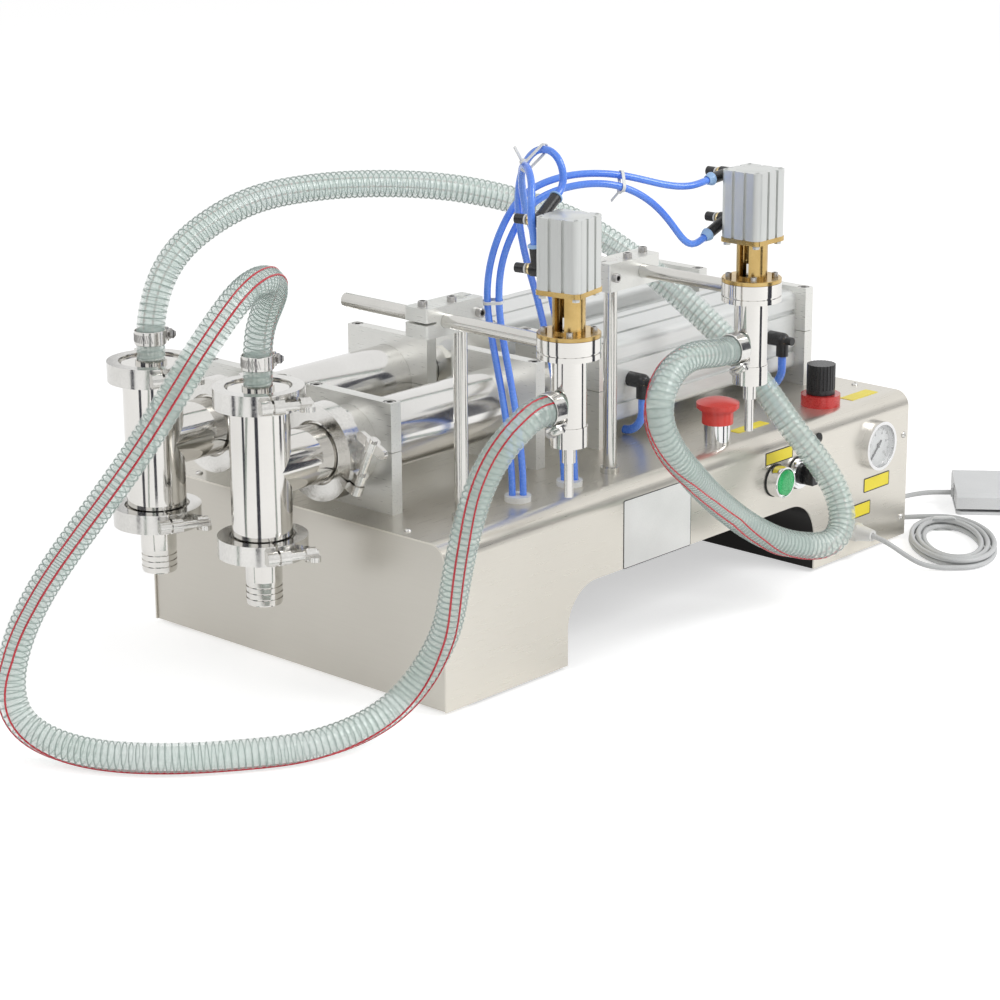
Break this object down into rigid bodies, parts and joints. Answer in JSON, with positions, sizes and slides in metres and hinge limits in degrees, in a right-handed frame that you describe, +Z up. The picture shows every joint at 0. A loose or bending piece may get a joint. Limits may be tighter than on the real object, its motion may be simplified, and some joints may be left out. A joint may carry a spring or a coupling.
{
  "type": "pneumatic double nozzle liquid filling machine",
  "caption": "Table-top piston filler: steel cabinet, two cylinder rows with ball valves, two adjustable filling nozzles fed by clear hoses, and a foot switch on a cable.",
  "frame": {"origin": "centre of the machine's footprint at table height, cords left out", "axes": "+X from the inlet valves to the control end, +Y from the operator's side to the back, +Z up"},
  "size_m": [1.1871, 0.4932, 0.4741],
  "materials": {
    "sheet_steel": "fine brushed sheet",
    "polished_steel": "polished stainless steel",
    "machined_aluminium": "fine machined",
    "anodised_aluminium": "satin anodised",
    "brass": "turned",
    "black_rubber": "matte",
    "black_plastic": "satin",
    "white_plastic": "smooth",
    "red_plastic": "smooth",
    "red_metal": "anodised red",
    "green_plastic": "smooth",
    "blue_tube": "smooth",
    "clear_hose": "clear with a wire spiral",
    "grey_cable": "smooth",
    "grey_plastic": "fine texture"
  },
  "bodies": {
    "machine": {"cabinet_shell": "sheet_steel", "cabinet_panels": "sheet_steel", "feet": "black_rubber", "brackets_lower": "machined_aluminium", "brackets_upper": "machined_aluminium", "product_cylinder_front": "polished_steel", "product_cylinder_back": "polished_steel", "air_cylinder_front": "anodised_aluminium", "air_cylinder_back": "anodised_aluminium", "valve_body_front": "polished_steel", "valve_body_back": "polished_steel", "valve_lids": "polished_steel", "supply_barbs": "polished_steel", "tri_clamps": "polished_steel", "posts": "polished_steel", "button_bezels": "polished_steel", "stop_neck": "polished_steel", "gauge_case": "polished_steel", "regulator_ring": "red_metal", "glands": "white_plastic", "foot_switch_base": "grey_plastic", "air_fittings": "black_plastic", "cylinder_tubes": "blue_tube", "hose_front": "clear_hose", "hose_back": "clear_hose", "tube_left_top": "blue_tube", "tube_left_low": "blue_tube", "tube_right_top": "blue_tube", "tube_right_low": "blue_tube", "cable_lead": "grey_cable", "cable_hank": "grey_cable", "cable_tail": "grey_cable"},
    "head_left": {"arm_block_left": "machined_aluminium", "arm_rod_left": "polished_steel", "nozzle_body_left": "polished_steel", "nozzle_tip_left": "polished_steel", "lantern_left": "brass", "head_cylinder_left": "anodised_aluminium", "head_fittings_left": "black_plastic"},
    "head_right": {"arm_block_right": "machined_aluminium", "arm_rod_right": "polished_steel", "nozzle_body_right": "polished_steel", "nozzle_tip_right": "polished_steel", "lantern_right": "brass", "head_cylinder_right": "anodised_aluminium", "head_fittings_right": "black_plastic"},
    "plunger_left": {"plunger_left": "polished_steel"},
    "plunger_right": {"plunger_right": "polished_steel"},
    "piston_front": {"piston_rod_front": "polished_steel"},
    "piston_back": {"piston_rod_back": "polished_steel"},
    "inlet_ball_front": {"inlet_ball_front": "white_plastic"},
    "outlet_ball_front": {"outlet_ball_front": "white_plastic"},
    "inlet_ball_back": {"inlet_ball_back": "white_plastic"},
    "outlet_ball_back": {"outlet_ball_back": "white_plastic"},
    "start_button": {"start_button": "green_plastic"},
    "stop_button": {"stop_button": "red_plastic"},
    "selector_knob": {"selector_knob": "black_plastic"},
    "regulator_knob": {"regulator_knob": "black_plastic"},
    "gauge_needle": {"gauge_needle": "black_plastic"},
    "pedal": {"pedal": "grey_plastic"}
  },
  "joints": [
    {"name": "head_left_height", "type": "slide", "parent": "machine", "child": "head_left", "axis": [0, 0, 1], "range_m": [-0.055, 0.008], "deforming": ["hose_front", "tube_left_top", "tube_left_low"]},
    {"name": "plunger_left_lift", "type": "slide", "parent": "head_left", "child": "plunger_left", "axis": [0, 0, 1], "range_m": [0, 0.008]},
    {"name": "head_right_height", "type": "slide", "parent": "machine", "child": "head_right", "axis": [0, 0, 1], "range_m": [-0.055, 0.008], "deforming": ["hose_back", "tube_right_top", "tube_right_low"]},
    {"name": "plunger_right_lift", "type": "slide", "parent": "head_right", "child": "plunger_right", "axis": [0, 0, 1], "range_m": [0, 0.008]},
    {"name": "piston_front_stroke", "type": "slide", "parent": "machine", "child": "piston_front", "axis": [1, 0, 0], "range_m": [-0.15, 0]},
    {"name": "inlet_ball_front_lift", "type": "slide", "parent": "machine", "child": "inlet_ball_front", "axis": [0, 0, 1], "range_m": [0, 0.006]},
    {"name": "outlet_ball_front_lift", "type": "slide", "parent": "machine", "child": "outlet_ball_front", "axis": [0, 0, 1], "range_m": [0, 0.006]},
    {"name": "piston_back_stroke", "type": "slide", "parent": "machine", "child": "piston_back", "axis": [1, 0, 0], "range_m": [-0.15, 0]},
    {"name": "inlet_ball_back_lift", "type": "slide", "parent": "machine", "child": "inlet_ball_back", "axis": [0, 0, 1], "range_m": [0, 0.006]},
    {"name": "outlet_ball_back_lift", "type": "slide", "parent": "machine", "child": "outlet_ball_back", "axis": [0, 0, 1], "range_m": [0, 0.006]},
    {"name": "start_button_press", "type": "slide", "parent": "machine", "child": "start_button", "axis": [0, 1, 0], "range_m": [0, 0.003], "stiffness_N_per_m": 500, "springref_m": -0.002},
    {"name": "stop_button_press", "type": "slide", "parent": "machine", "child": "stop_button", "axis": [0, 0, -1], "range_m": [0, 0.003], "stiffness_N_per_m": 800, "springref_m": -0.002},
    {"name": "selector_turn", "type": "hinge", "parent": "machine", "child": "selector_knob", "pos_m": [0.09245, -0.11695, 0.1058], "axis": [0, 1, 0], "range_deg": [-45, 45]},
    {"name": "regulator_turn", "type": "hinge", "parent": "machine", "child": "regulator_knob", "pos_m": [0.17765, -0.07965, 0.17], "axis": [0, 0, 1], "range_deg": [-270, 270]},
    {"name": "gauge_needle_turn", "type": "hinge", "parent": "machine", "child": "gauge_needle", "pos_m": [0.21845, -0.12015, 0.1058], "axis": [0, 1, 0], "range_deg": [0, 270], "stiffness_Nm_per_rad": 0.0005, "springref_deg": -28.65},
    {"name": "pedal_press", "type": "hinge", "parent": "machine", "child": "pedal", "pos_m": [0.42182, -0.07267, 0.01], "axis": [0.6157, -0.788, 0], "range_deg": [0, 2], "stiffness_Nm_per_rad": 20, "springref_deg": -1.72}
  ]
}
